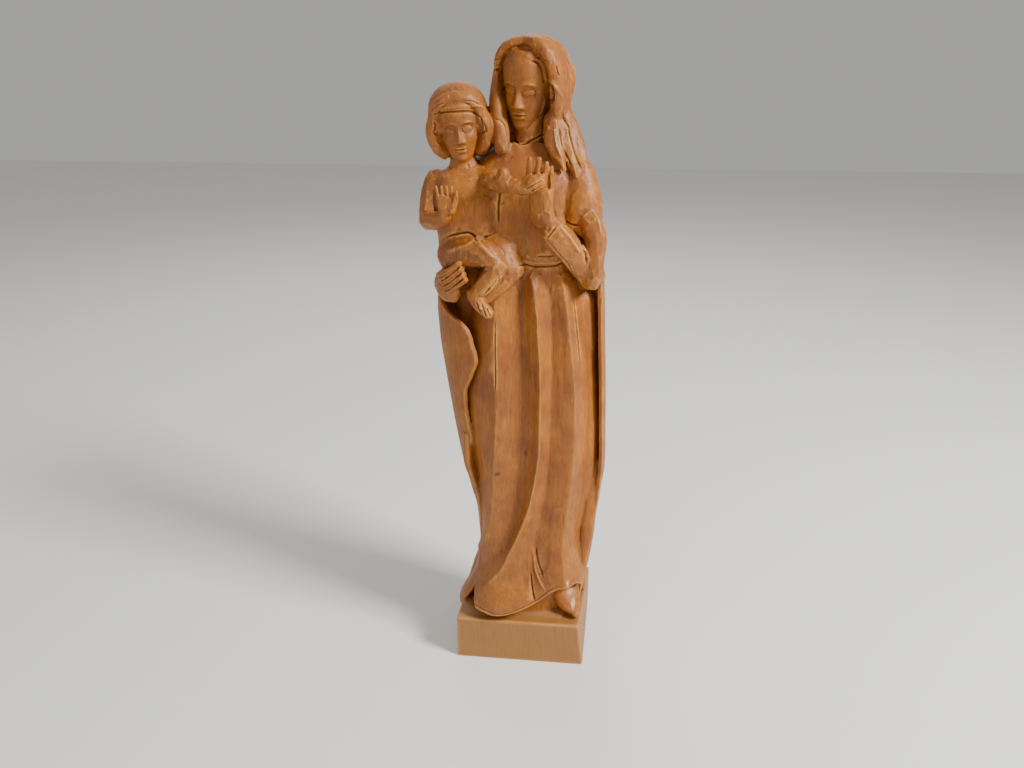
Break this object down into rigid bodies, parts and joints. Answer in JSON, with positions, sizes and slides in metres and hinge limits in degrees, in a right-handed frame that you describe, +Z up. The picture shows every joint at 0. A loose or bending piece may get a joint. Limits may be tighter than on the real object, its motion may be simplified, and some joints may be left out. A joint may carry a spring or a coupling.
{
  "type": "carved figurine",
  "caption": "Standing virgin and child carved in wood, in the round, with a long cloak and a square plinth to rest on.",
  "frame": {"origin": "on the plinth's flat underside, half its depth behind the middle of its front edge", "axes": "+Z up the statue, -Y the way that it faces, +X to the right of someone who looks at its front"},
  "size_m": [0.1267, 0.085, 0.4492],
  "materials": {
    "stained_limewood": "satin, honey-brown stain that is darker in the cuts and rubbed lighter on the edges"
  },
  "bodies": {
    "root": {"virgin_and_child": "stained_limewood"}
  },
  "joints": []
}
